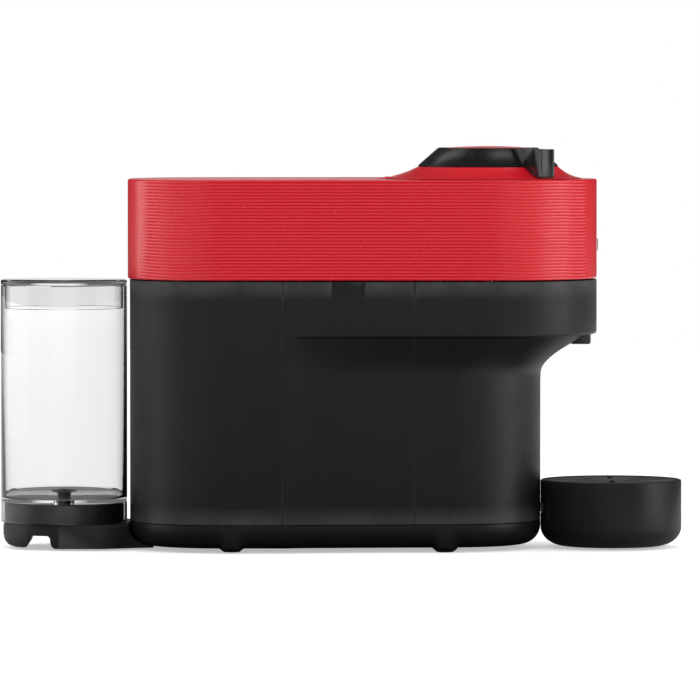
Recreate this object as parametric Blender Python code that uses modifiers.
"""Compact centrifugal pod coffee machine, built as it is assembled on a bench.

Metres, +Z up. +X points to the cup, -Y to the side with the pod drawer. The origin is
under the centre of the whole machine, on the surface that it stands on.
"""

import math

import bmesh
import bpy

# Overall plan and heights
HEAD_HALF_WIDTH = 0.068
BREW_X = 0.0918
HEAD_REAR_X = -0.1332
REAR_RADIUS = 0.057
BODY_INSET = 0.0013
BODY_FRONT_X = 0.1247
BODY_TAPER_X = -0.0362
BODY_FRONT_HALF_WIDTH = 0.057
BODY_CORNER_RADIUS = 0.0565
WALL = 0.0025
GAP = 0.0003
BASE_LOW = 0.0027
BASE_TOP = 0.0173
BASE_ROUNDING = 0.012
BODY_LOW = 0.0179
BODY_TOP = 0.168
HEAD_LOW = 0.1688
HEAD_TOP = 0.2308

# Drawer for used pods
DRAWER_REAR_X = -0.0362
DRAWER_FRONT_X = 0.0455
DRAWER_MIDDLE_X = (DRAWER_REAR_X + DRAWER_FRONT_X) / 2
BIN_LOW = 0.021
BIN_TOP = 0.150
BIN_WALL = 0.002

# Lid and brewing head
LID_HINGE = (0.0276, 0.0, 0.2275)
LID_RADIUS = 0.062
LID_OPENING_RADIUS = 0.057
HINGE_PIN_RADIUS = 0.0012
HINGE_HALF_LENGTH = 0.0145
LEVER_ANGLE = math.radians(-54)
LEVER_REACH = 0.0600
LEVER_WIDTH = 0.0120
COLLAR_LOW = 0.2386
COLLAR_TOP = 0.2502
BUTTON_TOP = 0.2512

# Water tank, its support, and the drip cup
TANK_X = -0.1735
TANK_RADIUS = 0.0395
TANK_FLOOR = 0.0314
TANK_LOW = 0.0163
TANK_RIM = 0.1643
TANK_LID_TOP = 0.1679
SUPPORT_TOP = 0.0160
CUP_X = 0.1689
CUP_RADIUS = 0.0441
CUP_LOW = 0.0012
CUP_RIM = 0.0427
DOCK_HALF_WIDTH = 0.010
DOCK_LOW = 0.022
DOCK_TOP = 0.028

# Feet
FOOT_X = {"rear": -0.068, "front": 0.0645}
FOOT_Y = {"left": 0.045, "right": -0.045}

ROUND = 32
CORNER_STEPS = 8
REAR_STEPS = 6


def start_scene():
    """Empty scene with one collection for the parts and one for the cutters."""
    for thing in list(bpy.data.objects):
        bpy.data.objects.remove(thing)
    made = []
    for name in ("pod_coffee_machine", "cutters"):
        collection = bpy.data.collections.new(name)
        bpy.context.scene.collection.children.link(collection)
        made.append(collection)
    return made


PARTS, CUTTERS = start_scene()


def plastic(name, colour, roughness, metallic=0.0, transmission=0.0):
    """Principled material in one colour."""
    material = bpy.data.materials.new(name)
    material.use_nodes = True
    shader = material.node_tree.nodes["Principled BSDF"]
    shader.inputs["Base Color"].default_value = (*colour, 1.0)
    shader.inputs["Roughness"].default_value = roughness
    shader.inputs["Metallic"].default_value = metallic
    shader.inputs["Transmission Weight"].default_value = transmission
    return material


BLACK = plastic("black_casing_plastic", (0.012, 0.012, 0.013), 0.45)
DARK = plastic("black_inner_plastic", (0.02, 0.02, 0.022), 0.55)
RED = plastic("red_head_plastic", (0.72, 0.012, 0.02), 0.4)
CLEAR = plastic("clear_tank_plastic", (0.92, 0.95, 0.96), 0.05, transmission=1.0)
RUBBER = plastic("black_rubber", (0.015, 0.015, 0.015), 0.8)
SILICONE = plastic("grey_silicone", (0.55, 0.55, 0.53), 0.6)
STEEL = plastic("steel", (0.6, 0.6, 0.61), 0.3, metallic=1.0)
ALUMINIUM = plastic("cast_aluminium", (0.7, 0.7, 0.71), 0.45, metallic=1.0)
BADGE = plastic("silver_badge", (0.75, 0.75, 0.76), 0.25, metallic=1.0)
BOARD = plastic("green_circuit_board", (0.02, 0.16, 0.06), 0.5)
LENS = plastic("white_light_ring", (0.85, 0.85, 0.83), 0.4)


def pivot(name, place):
    """Empty on a joint's axis, which the moving pieces hang from."""
    empty = bpy.data.objects.new(name, None)
    empty.location = place
    empty.empty_display_size = 0.02
    PARTS.objects.link(empty)
    return empty


def add_object(name, data, material, parent=None, place=(0.0, 0.0, 0.0)):
    """Link a part at its world place, under its pivot if it has one."""
    made = bpy.data.objects.new(name, data)
    made.location = place
    if parent is not None:
        made.parent = parent
        made.location = [a - b for a, b in zip(place, parent.location)]
    if not data.materials:
        data.materials.append(material)
    PARTS.objects.link(made)
    return made


def as_cutter(thing):
    """Move an object among the cutters, which the part itself leaves out."""
    PARTS.objects.unlink(thing)
    CUTTERS.objects.link(thing)
    thing.hide_render = True
    thing.display_type = "WIRE"
    return thing


def boolean(target, tool, operation):
    """Cut, join or trim a part with another object."""
    modifier = target.modifiers.new(operation.title(), "BOOLEAN")
    modifier.operation = operation
    modifier.object = tool
    modifier.solver = "EXACT"


def mesh_of(name, bm):
    """Finish a bmesh as a mesh that is smooth up to sharp edges."""
    mesh = bpy.data.meshes.new(name)
    bm.to_mesh(mesh)
    bm.free()
    mesh.shade_smooth()
    mesh.set_sharp_from_angle(angle=math.radians(30))
    return mesh


def box(name, low, high, material, parent=None, bevel=0.0):
    """Block between two corners, with its origin at its centre."""
    bm = bmesh.new()
    bmesh.ops.create_cube(bm, size=1.0)
    bmesh.ops.scale(bm, vec=[b - a for a, b in zip(low, high)], verts=bm.verts)
    centre = [(a + b) / 2 for a, b in zip(low, high)]
    made = add_object(name, mesh_of(name, bm), material, parent, centre)
    if bevel:
        rounding = made.modifiers.new("Edges", "BEVEL")
        rounding.width = bevel
        rounding.segments = 2
    return made


def cylinder(name, radius, length, centre, axis, material, parent=None, sides=24):
    """Round bar on an axis given as a letter."""
    bm = bmesh.new()
    bmesh.ops.create_cone(
        bm, cap_ends=True, segments=sides, radius1=radius, radius2=radius, depth=length
    )
    made = add_object(name, mesh_of(name, bm), material, parent, centre)
    made.rotation_euler = {
        "X": (0.0, math.pi / 2, 0.0),
        "Y": (math.pi / 2, 0.0, 0.0),
        "Z": (0.0, 0.0, 0.0),
    }[axis]
    return made


def turned(name, profile, material, centre_x, parent=None, closed=True, sides=ROUND):
    """Turned piece on a vertical axis; the profile is radius and height, outer side down."""
    bm = bmesh.new()
    points = [bm.verts.new((radius, 0.0, height)) for radius, height in profile]
    pairs = list(zip(points, points[1:]))
    if closed:
        pairs.append((points[-1], points[0]))
    for pair in pairs:
        bm.edges.new(pair)
    made = add_object(name, mesh_of(name, bm), material, parent, (centre_x, 0.0, 0.0))
    screw = made.modifiers.new("Turn", "SCREW")
    screw.axis = "Z"
    screw.steps = sides
    screw.render_steps = sides
    screw.use_merge_vertices = True
    screw.merge_threshold = 0.00001
    screw.use_smooth_shade = True
    return made


def outline_mesh(name, points, depth):
    """Flat outline in X and Y, thickened along Z about zero, as a welded mesh."""
    curve = bpy.data.curves.new(name, "CURVE")
    curve.dimensions = "2D"
    curve.fill_mode = "BOTH"
    curve.extrude = depth / 2
    spline = curve.splines.new("POLY")
    spline.points.add(len(points) - 1)
    for point, (x, y) in zip(spline.points, points):
        point.co = (x, y, 0.0, 1.0)
    spline.use_cyclic_u = True
    drawn = bpy.data.objects.new(name, curve)
    CUTTERS.objects.link(drawn)
    graph = bpy.context.evaluated_depsgraph_get()
    mesh = bpy.data.meshes.new_from_object(drawn.evaluated_get(graph))
    bm = bmesh.new()
    bm.from_mesh(mesh)
    bmesh.ops.remove_doubles(bm, verts=bm.verts, dist=0.00001)
    bm.to_mesh(mesh)
    bm.free()
    bpy.data.objects.remove(drawn)
    return mesh


def side_outline(name, points, width, material):
    """Piece drawn in side view (X and Z) and as wide as given along Y."""
    made = add_object(name, outline_mesh(name, points, width), material)
    made.rotation_euler = (math.pi / 2, 0.0, 0.0)
    return made


def smooth_route(points, steps=3):
    """Points along a smooth curve through the given ones."""
    ends = [points[0]] + list(points) + [points[-1]]
    route = []
    for a, b, c, d in zip(ends, ends[1:], ends[2:], ends[3:]):
        for step in range(steps):
            t = step / steps
            route.append(
                [
                    0.5
                    * (
                        2 * q
                        + (r - p) * t
                        + (2 * p - 5 * q + 4 * r - s) * t**2
                        + (3 * q - p - 3 * r + s) * t**3
                    )
                    for p, q, r, s in zip(a, b, c, d)
                ]
            )
    route.append(list(points[-1]))
    return route


def wire(name, points, radius, material, parent=None, place=(0.0, 0.0, 0.0)):
    """Round wire or hose along a line of points."""
    curve = bpy.data.curves.new(name, "CURVE")
    curve.dimensions = "3D"
    curve.bevel_depth = radius
    curve.bevel_resolution = 2
    curve.use_fill_caps = True
    spline = curve.splines.new("POLY")
    spline.points.add(len(points) - 1)
    for point, (x, y, z) in zip(spline.points, points):
        point.co = (x, y, z, 1.0)
    return add_object(name, curve, material, parent, place)


# Casings


def head_plan(inset=0.0):
    """Half outline of the head from its front centre round the +Y side to the rear."""
    radius = HEAD_HALF_WIDTH - inset
    half = [(BREW_X + radius, 0.0)]
    for angle in arc_angles(8, 90, CORNER_STEPS):
        half.append((BREW_X + radius * math.cos(angle), radius * math.sin(angle)))
    half.append((DRAWER_FRONT_X, radius))
    half.append((DRAWER_REAR_X, radius))
    half.extend(rear_corner(inset))
    return half


def arc_angles(first, last, steps):
    """Evenly spaced angles in radians between two given in degrees."""
    return [math.radians(first + (last - first) * i / steps) for i in range(steps + 1)]


def rear_corner(inset):
    """Rear corner of the plan, and the middle of the rear face."""
    centre_x = HEAD_REAR_X + REAR_RADIUS
    centre_y = HEAD_HALF_WIDTH - REAR_RADIUS
    radius = REAR_RADIUS - inset
    corner = [
        (centre_x + radius * math.cos(angle), centre_y + radius * math.sin(angle))
        for angle in arc_angles(90, 180, REAR_STEPS)
    ]
    return corner + [(HEAD_REAR_X + inset, 0.0)]


def body_plan(inset=0.0):
    """Half outline of the narrower body below the undercut."""
    radius = BODY_CORNER_RADIUS - inset
    centre_x = BODY_FRONT_X - BODY_CORNER_RADIUS
    centre_y = BODY_FRONT_HALF_WIDTH - BODY_CORNER_RADIUS
    rear_half_width = HEAD_HALF_WIDTH - BODY_INSET - inset
    front_half_width = BODY_FRONT_HALF_WIDTH - inset
    share = (DRAWER_FRONT_X - BODY_TAPER_X) / (centre_x - BODY_TAPER_X)
    seam_half_width = rear_half_width + (front_half_width - rear_half_width) * share
    half = [(BODY_FRONT_X - inset, 0.0)]
    for angle in arc_angles(0, 90, CORNER_STEPS):
        half.append((centre_x + radius * math.cos(angle), centre_y + radius * math.sin(angle)))
    half.append((DRAWER_FRONT_X, seam_half_width))
    half.append((DRAWER_REAR_X, rear_half_width))
    half.extend(rear_corner(BODY_INSET + inset))
    return half


def shoulder_plan(inset=0.0):
    """Half outline of the body just under the head, as wide as the head in front."""
    seam = CORNER_STEPS + 3
    return head_plan(inset)[:seam] + body_plan(inset)[seam:]


def whole_plan(half):
    """Both sides of a half outline, counter-clockwise seen from above."""
    mirrored = [(x, -y) for x, y in reversed(half[1:-1])]
    return half + mirrored


def blend_plan(first, second, share):
    """Outline part of the way from one to another."""
    return [
        (a[0] + (b[0] - a[0]) * share, a[1] + (b[1] - a[1]) * share)
        for a, b in zip(first, second)
    ]


def loft_mesh(name, sections, cap_low, cap_top):
    """Skin of outlines at rising heights, with its ends closed where asked."""
    bm = bmesh.new()
    rings = [
        [bm.verts.new((x, y, height)) for x, y in whole_plan(half)]
        for height, half in sections
    ]
    for low, high in zip(rings, rings[1:]):
        for i in range(len(low)):
            j = (i + 1) % len(low)
            bm.faces.new((low[i], low[j], high[j], high[i]))
    if cap_low:
        bm.faces.new(list(reversed(rings[0])))
    if cap_top:
        bm.faces.new(rings[-1])
    return mesh_of(name, bm)


def shell(name, mesh, material, parent=None, wall=WALL):
    """Part with a wall on the inner side of a skin."""
    place = (0.0, 0.0, 0.0) if parent is None else tuple(parent.location)
    made = add_object(name, mesh, material, parent, place)
    if parent is not None:
        made.location = [-value for value in parent.location]
    thickness = made.modifiers.new("Wall", "SOLIDIFY")
    thickness.thickness = wall
    thickness.offset = -1.0
    thickness.use_even_offset = True
    return made


# How far the undercut has swept forward at each height, from the body to the head's plan
UNDERCUT = [
    (0.1060, 0.000),
    (0.1121, 0.020),
    (0.1171, 0.115),
    (0.1221, 0.275),
    (0.1274, 0.519),
    (0.1332, 0.790),
    (0.1356, 0.990),
    (0.1376, 1.000),
]


def casing_mesh():
    """Skin of the black body, from the base seam to the head."""
    low = body_plan()
    high = shoulder_plan()
    sections = [(BODY_LOW, low)]
    sections += [(height, blend_plan(low, high, share)) for height, share in UNDERCUT]
    sections.append((BODY_TOP, high))
    return loft_mesh("casing", sections, False, False)


def casing_piece(name, mesh, low, high, parent=None):
    """Stretch of the body's wall between two seams."""
    piece = shell(name, mesh, BLACK, parent)
    trim = as_cutter(box(name + "_trim", low, high, BLACK))
    boolean(piece, trim, "INTERSECT")
    return piece


def build_casings(drawer):
    """Rear, front, far-side and drawer pieces of the black body."""
    mesh = casing_mesh()
    half_gap = GAP / 2
    rear = casing_piece(
        "rear_casing", mesh, (-0.2, -0.1, 0.0), (DRAWER_REAR_X - half_gap, 0.1, 0.2)
    )
    front = casing_piece(
        "front_casing", mesh, (DRAWER_FRONT_X + half_gap, -0.1, 0.0), (0.2, 0.1, 0.2)
    )
    casing_piece(
        "side_cover",
        mesh,
        (DRAWER_REAR_X + half_gap, 0.02, 0.0),
        (DRAWER_FRONT_X - half_gap, 0.1, 0.2),
    )
    panel = casing_piece(
        "drawer_front",
        mesh,
        (DRAWER_REAR_X + half_gap, -0.1, 0.0),
        (DRAWER_FRONT_X - half_gap, -0.02, 0.2),
        drawer,
    )
    notch = cylinder(
        "finger_notch", 0.0106, 0.03, (DRAWER_MIDDLE_X, -0.066, BODY_TOP), "Y", BLACK
    )
    boolean(panel, as_cutter(notch), "DIFFERENCE")
    return rear, front


def build_base_tray():
    """Bottom shell with a rounded lower edge, open at the top."""
    sections = []
    for angle in arc_angles(0, 90, 3):
        inset = BASE_ROUNDING * (1 - math.sin(angle))
        height = BASE_LOW + BASE_ROUNDING * (1 - math.cos(angle))
        sections.append((height, body_plan(inset)))
    sections.append((BASE_TOP, body_plan()))
    shell("base_tray", loft_mesh("base_tray", sections, True, False), BLACK)


def build_feet():
    """Four rubber feet under the base."""
    profile = [
        (0.0, BASE_LOW - GAP),
        (0.0080, BASE_LOW - GAP),
        (0.0060, 0.0008),
        (0.00465, 0.0),
        (0.0, 0.0),
    ]
    for end, x in FOOT_X.items():
        for side, y in FOOT_Y.items():
            foot = turned(f"foot_{end}_{side}", profile, RUBBER, x, closed=False, sides=16)
            foot.location.y = y


def build_head_shell():
    """Red head: a band, a top plate with the lid's opening, and two hinge blocks."""
    sections = [
        (HEAD_LOW, head_plan(0.0016)),
        (HEAD_LOW + 0.0012, head_plan(0.0004)),
        (HEAD_LOW + 0.0030, head_plan()),
        (HEAD_TOP - 0.0010, head_plan()),
        (HEAD_TOP, head_plan(0.0010)),
    ]
    head = shell("head_shell", loft_mesh("head_shell", sections, False, True), RED)
    opening = cylinder(
        "lid_opening", LID_OPENING_RADIUS, 0.02, (BREW_X, 0.0, HEAD_TOP), "Z", RED, sides=ROUND
    )
    boolean(head, as_cutter(opening), "DIFFERENCE")
    x, _, z = LID_HINGE
    inner_end = HINGE_HALF_LENGTH + 0.001
    slot = box("hinge_slot", (x - 0.0045, -inner_end, 0.222), (x + 0.009, inner_end, 0.24), RED)
    boolean(head, as_cutter(slot), "DIFFERENCE")
    for side in (-1, 1):
        ends = sorted((side * inner_end, side * (inner_end + 0.005)))
        block = box(
            f"hinge_block_{side}",
            (x - 0.003, ends[0], z - 0.003),
            (x + 0.003, ends[1], z + 0.002),
            RED,
        )
        boolean(head, as_cutter(block), "UNION")
    bore = cylinder("hinge_bore", HINGE_PIN_RADIUS + GAP, 0.05, LID_HINGE, "Y", RED, sides=16)
    boolean(head, as_cutter(bore), "DIFFERENCE")
    cylinder("hinge_pin", HINGE_PIN_RADIUS, 0.040, LID_HINGE, "Y", STEEL, sides=16)
    return head


def build_head_badge():
    """Plain bar set on the front of the head."""
    front = BREW_X + HEAD_HALF_WIDTH
    box(
        "head_badge",
        (front + GAP, -0.0035, 0.1858),
        (front + 0.0008, 0.0035, 0.1933),
        BADGE,
    )


# Lid


def build_lid(lid):
    """Red trumpet lid with the knuckle of its hinge."""
    profile = [
        (0.0439, 0.2384),
        (0.0455, 0.2370),
        (0.0480, 0.2352),
        (0.0520, 0.2331),
        (0.0570, 0.2317),
        (LID_RADIUS, 0.2314),
        (LID_RADIUS, 0.2311),
        (0.0560, 0.2311),
        (0.0560, 0.2225),
        (0.0541, 0.2225),
        (0.0541, 0.2300),
        (0.0500, 0.2315),
        (0.0460, 0.2340),
        (0.0439, 0.2356),
    ]
    cone = turned("lid_cone", profile, RED, BREW_X, lid)
    x, _, z = LID_HINGE
    tab = box(
        "hinge_tab",
        (x - 0.0004, -HINGE_HALF_LENGTH, z),
        (x + 0.0088, HINGE_HALF_LENGTH, 0.2320),
        RED,
        lid,
    )
    under = box(
        "hinge_tab_relief",
        (x + 0.0030, -0.02, z - 0.001),
        (x + 0.0086, 0.02, 0.2312),
        RED,
        lid,
    )
    knuckle = cylinder("hinge_knuckle", 0.0026, 2 * HINGE_HALF_LENGTH, LID_HINGE, "Y", RED, lid)
    bore = cylinder("knuckle_bore", HINGE_PIN_RADIUS + GAP, 0.04, LID_HINGE, "Y", RED, lid, 16)
    boolean(tab, as_cutter(under), "DIFFERENCE")
    boolean(cone, as_cutter(tab), "UNION")
    boolean(cone, as_cutter(knuckle), "UNION")
    boolean(cone, as_cutter(bore), "DIFFERENCE")


def build_lid_inside(lid):
    """Inner plate with the button's column, the bell's bearing, lights and board."""
    plate = [
        (0.0270, 0.2430),
        (0.0290, 0.2430),
        (0.0290, 0.2253),
        (0.0537, 0.2253),
        (0.0537, 0.2226),
        (0.0093, 0.2226),
        (0.0093, 0.2253),
        (0.0270, 0.2253),
    ]
    turned("lid_inner_plate", plate, DARK, BREW_X, lid)
    bearing = [(0.0044, 0.2280), (0.0090, 0.2280), (0.0090, 0.2226), (0.0044, 0.2226)]
    turned("bell_bearing", bearing, STEEL, BREW_X, lid, sides=16)
    ring = [(0.0230, 0.2425), (0.0266, 0.2425), (0.0266, 0.2401), (0.0230, 0.2401)]
    turned("light_ring", ring, LENS, BREW_X, lid)
    cylinder("button_board", 0.0262, 0.0016, (BREW_X, 0.0, 0.2388), "Z", BOARD, lid, ROUND)


def build_lever(lever):
    """Black collar that turns on the lid, with the lever that locks it."""
    collar = [
        (0.0304, COLLAR_TOP),
        (0.0310, COLLAR_TOP),
        (0.04375, COLLAR_LOW + 0.0004),
        (0.04375, COLLAR_LOW),
        (0.0416, COLLAR_LOW),
        (0.0360, 0.2432),
        (0.0360, 0.2296),
        (0.0335, 0.2296),
        (0.0335, 0.2445),
        (0.0304, 0.2475),
    ]
    ring = turned("lock_collar", collar, BLACK, BREW_X, lever)
    tab = [
        (0.0312, COLLAR_TOP - 0.0005),
        (LEVER_REACH, COLLAR_TOP - 0.0005),
        (LEVER_REACH, 0.2322),
        (0.0560, 0.2326),
        (0.0520, 0.2342),
        (0.0470, 0.2370),
        (0.0425, 0.2396),
        (0.0360, 0.2448),
    ]
    blade = side_outline("lever_blade", tab, LEVER_WIDTH, BLACK)
    blade.parent = lever
    blade.location = (0.0, 0.0, -lever.location.z)
    blade.rotation_euler = (math.pi / 2, 0.0, LEVER_ANGLE)
    boolean(ring, as_cutter(blade), "UNION")
    lock = [(0.0338, 0.2293), (0.0510, 0.2293), (0.0510, 0.2262), (0.0338, 0.2262)]
    bayonet = turned("bayonet_ring", lock, STEEL, BREW_X, lever)
    for i in range(3):
        angle = LEVER_ANGLE + i * math.tau / 3
        lug = box(f"lug_{i}", (-0.002, -0.005, 0.2265), (0.002, 0.005, 0.2285), STEEL)
        lug.location.x = BREW_X + 0.0510 * math.cos(angle)
        lug.location.y = 0.0510 * math.sin(angle)
        lug.rotation_euler.z = angle
        boolean(bayonet, as_cutter(lug), "UNION")


def build_button(button, lid):
    """Crowned brew button and its return spring."""
    profile = [
        (0.0, BUTTON_TOP),
        (0.0120, BUTTON_TOP - 0.0002),
        (0.0230, BUTTON_TOP - 0.0006),
        (0.0295, BUTTON_TOP - 0.0013),
        (0.0299, BUTTON_TOP - 0.0020),
        (0.0299, 0.2455),
        (0.0285, 0.2455),
        (0.0285, 0.2478),
        (0.0, 0.2478),
    ]
    turned("brew_button", profile, RED, BREW_X, button, closed=False)
    low = 0.2403
    high = 0.2470
    turns = 3
    steps = 8
    helix = []
    for i in range(turns * steps + 1):
        angle = math.tau * i / steps
        height = low + (high - low) * i / (turns * steps)
        helix.append((0.008 * math.cos(angle), 0.008 * math.sin(angle), height))
    wire("button_spring", helix, 0.0004, STEEL, lid, (BREW_X, 0.0, 0.0))


def build_bell(bell):
    """Spinning bell that closes on the pod and pierces it."""
    profile = [
        (0.0, 0.2300),
        (0.0041, 0.2300),
        (0.0041, 0.2219),
        (0.0340, 0.2205),
        (0.0340, 0.2130),
        (0.0315, 0.2130),
        (0.0310, 0.2165),
        (0.0030, 0.2165),
        (0.0012, 0.2070),
        (0.0, 0.2050),
    ]
    turned("brew_bell", profile, ALUMINIUM, BREW_X, bell, closed=False)


# Brewing unit under the lid


def build_brew_unit(spin):
    """Pod holder and shaft that spin, in a fixed chamber with its bearing and motor."""
    holder = [
        (0.0, 0.1840),
        (0.0280, 0.1840),
        (0.0305, 0.1870),
        (0.0305, 0.2126),
        (0.0360, 0.2126),
        (0.0360, 0.2098),
        (0.0330, 0.2098),
        (0.0330, 0.1840),
        (0.0300, 0.1805),
        (0.0, 0.1805),
    ]
    turned("pod_holder", holder, ALUMINIUM, BREW_X, spin, closed=False)
    cylinder("rotor_shaft", 0.0040, 0.0600, (BREW_X, 0.0, 0.1502), "Z", STEEL, spin)
    chamber = [
        (0.0400, 0.2160),
        (0.0425, 0.2160),
        (0.0425, 0.1720),
        (0.0090, 0.1720),
        (0.0090, 0.1745),
        (0.0400, 0.1745),
    ]
    wall = turned("brew_chamber", chamber, DARK, BREW_X)
    outlet = cylinder("chamber_outlet", 0.0030, 0.02, (0.1330, 0.0, 0.1785), "X", DARK)
    boolean(wall, as_cutter(outlet), "DIFFERENCE")
    bearing = [(0.0043, 0.1780), (0.0087, 0.1780), (0.0087, 0.1715), (0.0043, 0.1715)]
    turned("shaft_bearing", bearing, STEEL, BREW_X, sides=16)
    motor = [
        (0.0, 0.1195),
        (0.0043, 0.1195),
        (0.0043, 0.1615),
        (0.0100, 0.1615),
        (0.0100, 0.1590),
        (0.0270, 0.1590),
        (0.0270, 0.1180),
        (0.0, 0.1180),
    ]
    turned("spin_motor", motor, STEEL, BREW_X, closed=False)


def build_spout(front_casing):
    """Coffee outlet that drops from the chamber through the underside."""
    nozzle = box("spout", (0.1430, -0.0070, 0.1275), (0.1560, 0.0070, 0.1820), BLACK, bevel=0.0012)
    duct = box("spout_duct", (0.1348, -0.0055, 0.1745), (0.1500, 0.0055, 0.1820), BLACK)
    boolean(nozzle, as_cutter(duct), "UNION")
    drop = cylinder("spout_bore", 0.0030, 0.0560, (0.1495, 0.0, 0.1500), "Z", BLACK, sides=16)
    cross = cylinder("duct_bore", 0.0030, 0.0165, (0.14175, 0.0, 0.1779), "X", BLACK, sides=16)
    boolean(nozzle, as_cutter(drop), "DIFFERENCE")
    boolean(nozzle, as_cutter(cross), "DIFFERENCE")
    hole = box("spout_hole", (0.1427, -0.0073, 0.1200), (0.1563, 0.0073, 0.1420), BLACK)
    boolean(front_casing, as_cutter(hole), "DIFFERENCE")


# Frame and machinery inside the body


def build_deck():
    """Deck over the body, open above the bin and behind the finger notch."""
    low = 0.1635
    top = 0.1660
    sections = [(low, body_plan(0.0050)), (top, body_plan(0.0050))]
    deck = add_object("deck_plate", loft_mesh("deck_plate", sections, True, True), DARK)
    openings = {
        "pod_drop": ((-0.025, -0.030), (0.034, 0.030)),
        "finger_room": ((DRAWER_MIDDLE_X - 0.013, -0.080), (DRAWER_MIDDLE_X + 0.013, -0.050)),
    }
    for name, (corner, opposite) in openings.items():
        hole = box(name, (*corner, low - 0.001), (*opposite, top + 0.001), DARK)
        boolean(deck, as_cutter(hole), "DIFFERENCE")
    bores = {"motor_bore": (0.0110, BREW_X, 0.0), "hose_bore": (0.0055, -0.0600, 0.0)}
    middle = (low + top) / 2
    for name, (radius, x, y) in bores.items():
        hole = cylinder(name, radius, 0.01, (x, y, middle), "Z", DARK)
        boolean(deck, as_cutter(hole), "DIFFERENCE")
    screw = [
        (0.0, top + 0.0021),
        (0.0032, top + 0.0021),
        (0.0032, top + GAP),
        (0.0015, top + GAP),
        (0.0015, low - 0.008),
        (0.0, low - 0.008),
    ]
    for i, (x, y) in enumerate(((-0.100, -0.030), (-0.100, 0.030), (0.060, -0.045), (0.060, 0.045))):
        hole = cylinder(f"screw_bore_{i}", 0.0018, 0.01, (x, y, middle), "Z", DARK, sides=16)
        boolean(deck, as_cutter(hole), "DIFFERENCE")
        fixing = turned(f"deck_screw_{i}", screw, STEEL, x, closed=False, sides=12)
        fixing.location.y = y


def build_drawer(drawer):
    """Open bin for used pods behind the drawer front, and the rails that guide it."""
    low = (DRAWER_REAR_X + 0.0052, -0.0565, BIN_LOW)
    high = (DRAWER_FRONT_X - 0.0055, 0.048, BIN_TOP)
    bin_box = box("capsule_bin", low, high, DARK, drawer)
    inside_low = [value + BIN_WALL for value in low]
    inside_high = (high[0] - BIN_WALL, high[1] - BIN_WALL, BIN_TOP + 0.01)
    inside = box("bin_inside", inside_low, inside_high, DARK, drawer)
    boolean(bin_box, as_cutter(inside), "DIFFERENCE")
    rails = {"rear": (low[0] - 0.0043, low[0] - 0.0005), "front": (high[0] + 0.0005, high[0] + 0.0043)}
    for end, (near, far) in rails.items():
        box(f"drawer_rail_{end}", (near, -0.050, 0.060), (far, 0.048, 0.066), DARK)


def build_machinery():
    """Pump, heater, flow meter, board, hoses and the gland of the mains lead."""
    pump_x = -0.078
    pump_z = 0.050
    pump = cylinder("pump", 0.017, 0.060, (pump_x, 0.0, pump_z), "Y", DARK)
    stub = as_cutter(cylinder("pump_stub", 0.0045, 0.084, (pump_x, 0.0, pump_z), "Y", DARK))
    boolean(pump, stub, "UNION")
    ring = [(0.0048, 0.0037), (0.0120, 0.0037), (0.0120, -0.0037), (0.0048, -0.0037)]
    for end, y in (("right", -0.0343), ("left", 0.0343)):
        mount = turned(f"pump_mount_{end}", ring, RUBBER, pump_x, sides=16)
        mount.location = (pump_x, y, pump_z)
        mount.rotation_euler.x = math.pi / 2
    box("thermoblock", (-0.105, -0.030, 0.095), (-0.050, 0.025, 0.125), ALUMINIUM, bevel=0.002)
    cylinder("flow_meter", 0.011, 0.012, (-0.112, 0.0, 0.081), "Z", DARK)
    box("control_board", (-0.090, 0.0560, 0.070), (-0.045, 0.0576, 0.130), BOARD)
    routes = {
        "hose_meter_to_pump": [
            (-0.112, 0.0, 0.0738),
            (-0.112, 0.0, 0.0690),
            (-0.112, -0.008, 0.058),
            (-0.110, -0.034, 0.054),
            (-0.098, -0.049, 0.050),
            (-0.084, -0.051, 0.050),
            (-0.0782, -0.0465, 0.050),
            (-0.078, -0.0425, 0.050),
        ],
        "hose_pump_to_heater": [
            (-0.078, 0.0432, 0.050),
            (-0.078, 0.0470, 0.051),
            (-0.068, 0.0475, 0.066),
            (-0.062, 0.0460, 0.090),
            (-0.062, 0.0380, 0.106),
            (-0.062, 0.0310, 0.110),
            (-0.062, 0.0262, 0.110),
        ],
        "hose_heater_to_brew_unit": [
            (-0.060, 0.0, 0.1255),
            (-0.060, 0.0, 0.150),
            (-0.060, 0.0, 0.180),
            (-0.040, 0.0, 0.200),
            (0.005, 0.0, 0.203),
            (0.035, 0.0, 0.200),
            (0.0487, 0.0, 0.200),
        ],
    }
    for name, route in routes.items():
        wire(name, smooth_route(route), 0.003, SILICONE)


def build_gland(rear_casing):
    """Gland of the mains lead, through the far side of the rear casing."""
    place = (-0.0550, HEAD_HALF_WIDTH - 0.0060, 0.0320)
    hole = cylinder("gland_hole", 0.0063, 0.02, place, "Y", RUBBER)
    boolean(rear_casing, as_cutter(hole), "DIFFERENCE")
    gland = cylinder("cord_gland", 0.0060, 0.010, place, "Y", RUBBER)
    bore = as_cutter(cylinder("gland_bore", 0.0036, 0.02, place, "Y", RUBBER))
    boolean(gland, bore, "DIFFERENCE")


# Water tank


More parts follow.
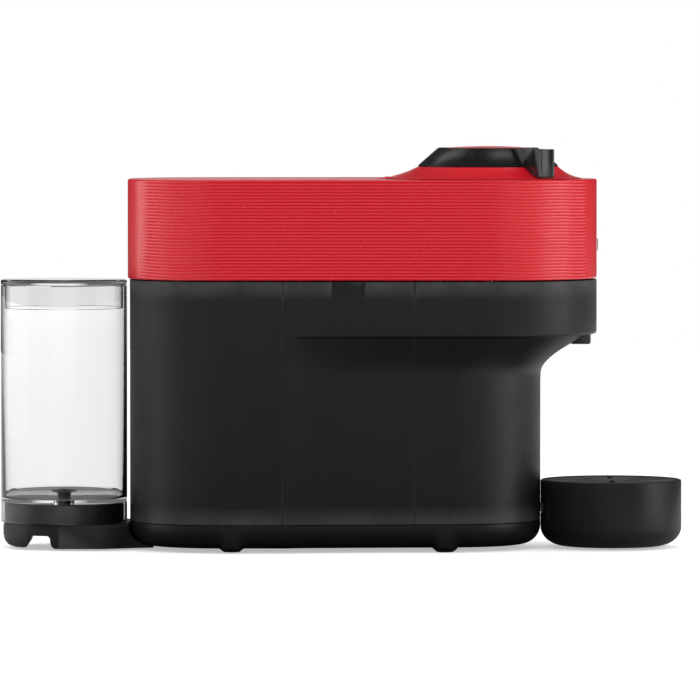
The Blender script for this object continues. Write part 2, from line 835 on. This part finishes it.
def build_tank_support():
    """Arm that carries the tank, with a guide for the lead underneath."""
    arm_outline = [
        (-0.1322, SUPPORT_TOP),
        (-0.2105, SUPPORT_TOP),
        (-0.2116, 0.0140),
        (-0.2112, 0.0065),
        (-0.2075, 0.0024),
        (-0.2030, 0.0017),
        (-0.1970, 0.0017),
        (-0.1944, 0.0045),
        (-0.1938, 0.0092),
        (-0.1816, 0.0092),
        (-0.1806, 0.0045),
        (-0.1780, 0.0012),
        (-0.1380, 0.0012),
        (-0.1335, 0.0030),
        (-0.1322, 0.0070),
    ]
    arm = side_outline("tank_support", arm_outline, 0.080, BLACK)
    radius = TANK_RADIUS - 0.0013
    end = [
        (TANK_X + radius * math.cos(angle), radius * math.sin(angle))
        for angle in arc_angles(90, 270, 14)
    ]
    plan = end + [(-0.1500, -radius), (-0.1300, -0.0290), (-0.1300, 0.0290), (-0.1500, radius)]
    trim = add_object("support_plan", outline_mesh("support_plan", plan, 0.08), BLACK)
    boolean(arm, as_cutter(trim), "INTERSECT")
    pad = [(0.0, 0.0009), (0.0040, 0.0009), (0.0025, 0.0), (0.0, 0.0)]
    foot = turned("support_pad", pad, RUBBER, TANK_X, closed=False, sides=16)
    foot.location.y = -0.018
    second = turned("support_pad_left", pad, RUBBER, TANK_X, closed=False, sides=16)
    second.location.y = 0.018
    radius = TANK_RADIUS - 0.0021
    pedestal = [
        (0.0, 0.0180),
        (0.0140, 0.0180),
        (0.0140, TANK_FLOOR - 0.0028),
        (radius - 0.0010, TANK_FLOOR - 0.0028),
        (radius, TANK_FLOOR - 0.0038),
        (radius, SUPPORT_TOP + GAP),
        (0.0, SUPPORT_TOP + GAP),
    ]
    turned("tank_pedestal", pedestal, BLACK, TANK_X, closed=False)
    seal = [(0.0080, 0.0250), (0.0137, 0.0250), (0.0137, 0.0183), (0.0080, 0.0183)]
    turned("inlet_seal", seal, SILICONE, TANK_X, sides=24)


def build_tank(tank, tank_lid, valve):
    """Clear tank, its lid, and the valve plunger in its floor."""
    inner = TANK_RADIUS - 0.0020
    skirt = TANK_RADIUS - 0.0016
    walls = [
        (inner, TANK_RIM),
        (TANK_RADIUS, TANK_RIM),
        (TANK_RADIUS, TANK_LOW),
        (skirt, TANK_LOW),
        (skirt, TANK_FLOOR - 0.0025),
        (0.0052, TANK_FLOOR - 0.0025),
        (0.0052, TANK_FLOOR),
        (inner, TANK_FLOOR),
    ]
    turned("tank", walls, CLEAR, TANK_X, tank)
    lid = [
        (0.0, TANK_LID_TOP),
        (TANK_RADIUS - 0.0004, TANK_LID_TOP),
        (TANK_RADIUS, TANK_LID_TOP - 0.0004),
        (TANK_RADIUS, TANK_RIM + GAP),
        (0.0371, TANK_RIM + GAP),
        (0.0371, 0.1498),
        (0.0353, 0.1498),
        (0.0353, 0.1649),
        (0.0, 0.1649),
    ]
    turned("tank_lid", lid, CLEAR, TANK_X, tank_lid, closed=False)
    plunger = [
        (0.0, 0.0341),
        (0.0080, 0.0341),
        (0.0080, 0.0327),
        (0.0046, 0.0327),
        (0.0046, 0.0240),
        (0.0, 0.0240),
    ]
    turned("valve_plunger", plunger, DARK, TANK_X, valve, closed=False, sides=24)


# Drip cup


def build_drip_tray(tray, support):
    """Round drip cup with a socket for its dock, the plate that holds a cup, and the dock."""
    cup_profile = [
        (0.0, 0.0037),
        (0.0280, 0.0037),
        (0.0355, 0.0059),
        (0.0392, 0.0110),
        (0.0400, 0.0160),
        (0.0400, 0.0396),
        (0.0420, 0.0396),
        (0.0420, CUP_RIM),
        (0.0434, CUP_RIM),
        (CUP_RADIUS, CUP_RIM - 0.0007),
    ]
    for angle in arc_angles(0, 90, 5):
        cup_profile.append(
            (
                CUP_RADIUS - 0.015 * (1 - math.cos(angle)),
                CUP_LOW + 0.012 * (1 - math.sin(angle)),
            )
        )
    cup_profile.append((0.0, CUP_LOW))
    cup = turned("drip_cup", cup_profile, BLACK, CUP_X, tray, closed=False)
    socket = box("dock_socket", (0.1290, -0.0190, 0.0190), (0.1400, 0.0190, 0.0310), BLACK, tray)
    slot = box(
        "dock_slot",
        (0.1200, -DOCK_HALF_WIDTH - 0.0005, DOCK_LOW - 0.0005),
        (0.1372, DOCK_HALF_WIDTH + 0.0005, DOCK_TOP + 0.0005),
        BLACK,
        tray,
    )
    boolean(cup, as_cutter(socket), "UNION")
    boolean(cup, as_cutter(slot), "DIFFERENCE")
    box(
        "tray_dock",
        (BODY_FRONT_X + GAP, -DOCK_HALF_WIDTH, DOCK_LOW),
        (0.1362, DOCK_HALF_WIDTH, DOCK_TOP),
        BLACK,
    )
    plate = cylinder("cup_support", 0.0416, 0.0024, (CUP_X, 0.0, 0.0411), "Z", BLACK, support, ROUND)
    for i in range(8):
        angle = i * math.tau / 8
        slit = box(f"drain_slit_{i}", (-0.010, -0.0015, 0.0380), (0.010, 0.0015, 0.0440), BLACK)
        slit.location.x = CUP_X + 0.024 * math.cos(angle)
        slit.location.y = 0.024 * math.sin(angle)
        slit.rotation_euler.z = angle
        boolean(plate, as_cutter(slit), "DIFFERENCE")


def build_machine():
    """Every piece, in the order in which the machine goes together."""
    lid = pivot("lid_pivot", LID_HINGE)
    lever = pivot("lever_pivot", (BREW_X, 0.0, COLLAR_LOW))
    button = pivot("button_pivot", (BREW_X, 0.0, BUTTON_TOP))
    bell = pivot("bell_pivot", (BREW_X, 0.0, 0.2219))
    spin = pivot("spin_pivot", (BREW_X, 0.0, 0.1840))
    drawer = pivot("drawer_pivot", (DRAWER_MIDDLE_X, -0.066, BODY_LOW))
    tank = pivot("tank_pivot", (TANK_X, 0.0, TANK_FLOOR))
    tank_lid = pivot("tank_lid_pivot", (TANK_X, 0.0, TANK_RIM))
    valve = pivot("valve_pivot", (TANK_X, 0.0, 0.0350))
    tray = pivot("tray_pivot", (CUP_X, 0.0, CUP_LOW))
    support = pivot("support_pivot", (CUP_X, 0.0, 0.0411))
    build_base_tray()
    build_feet()
    rear, front = build_casings(drawer)
    build_gland(rear)
    build_deck()
    build_machinery()
    build_drawer(drawer)
    build_head_shell()
    build_head_badge()
    build_brew_unit(spin)
    build_spout(front)
    build_lid(lid)
    build_lid_inside(lid)
    build_bell(bell)
    build_lever(lever)
    build_button(button, lid)
    build_tank_support()
    build_tank(tank, tank_lid, valve)
    build_drip_tray(tray, support)


build_machine()
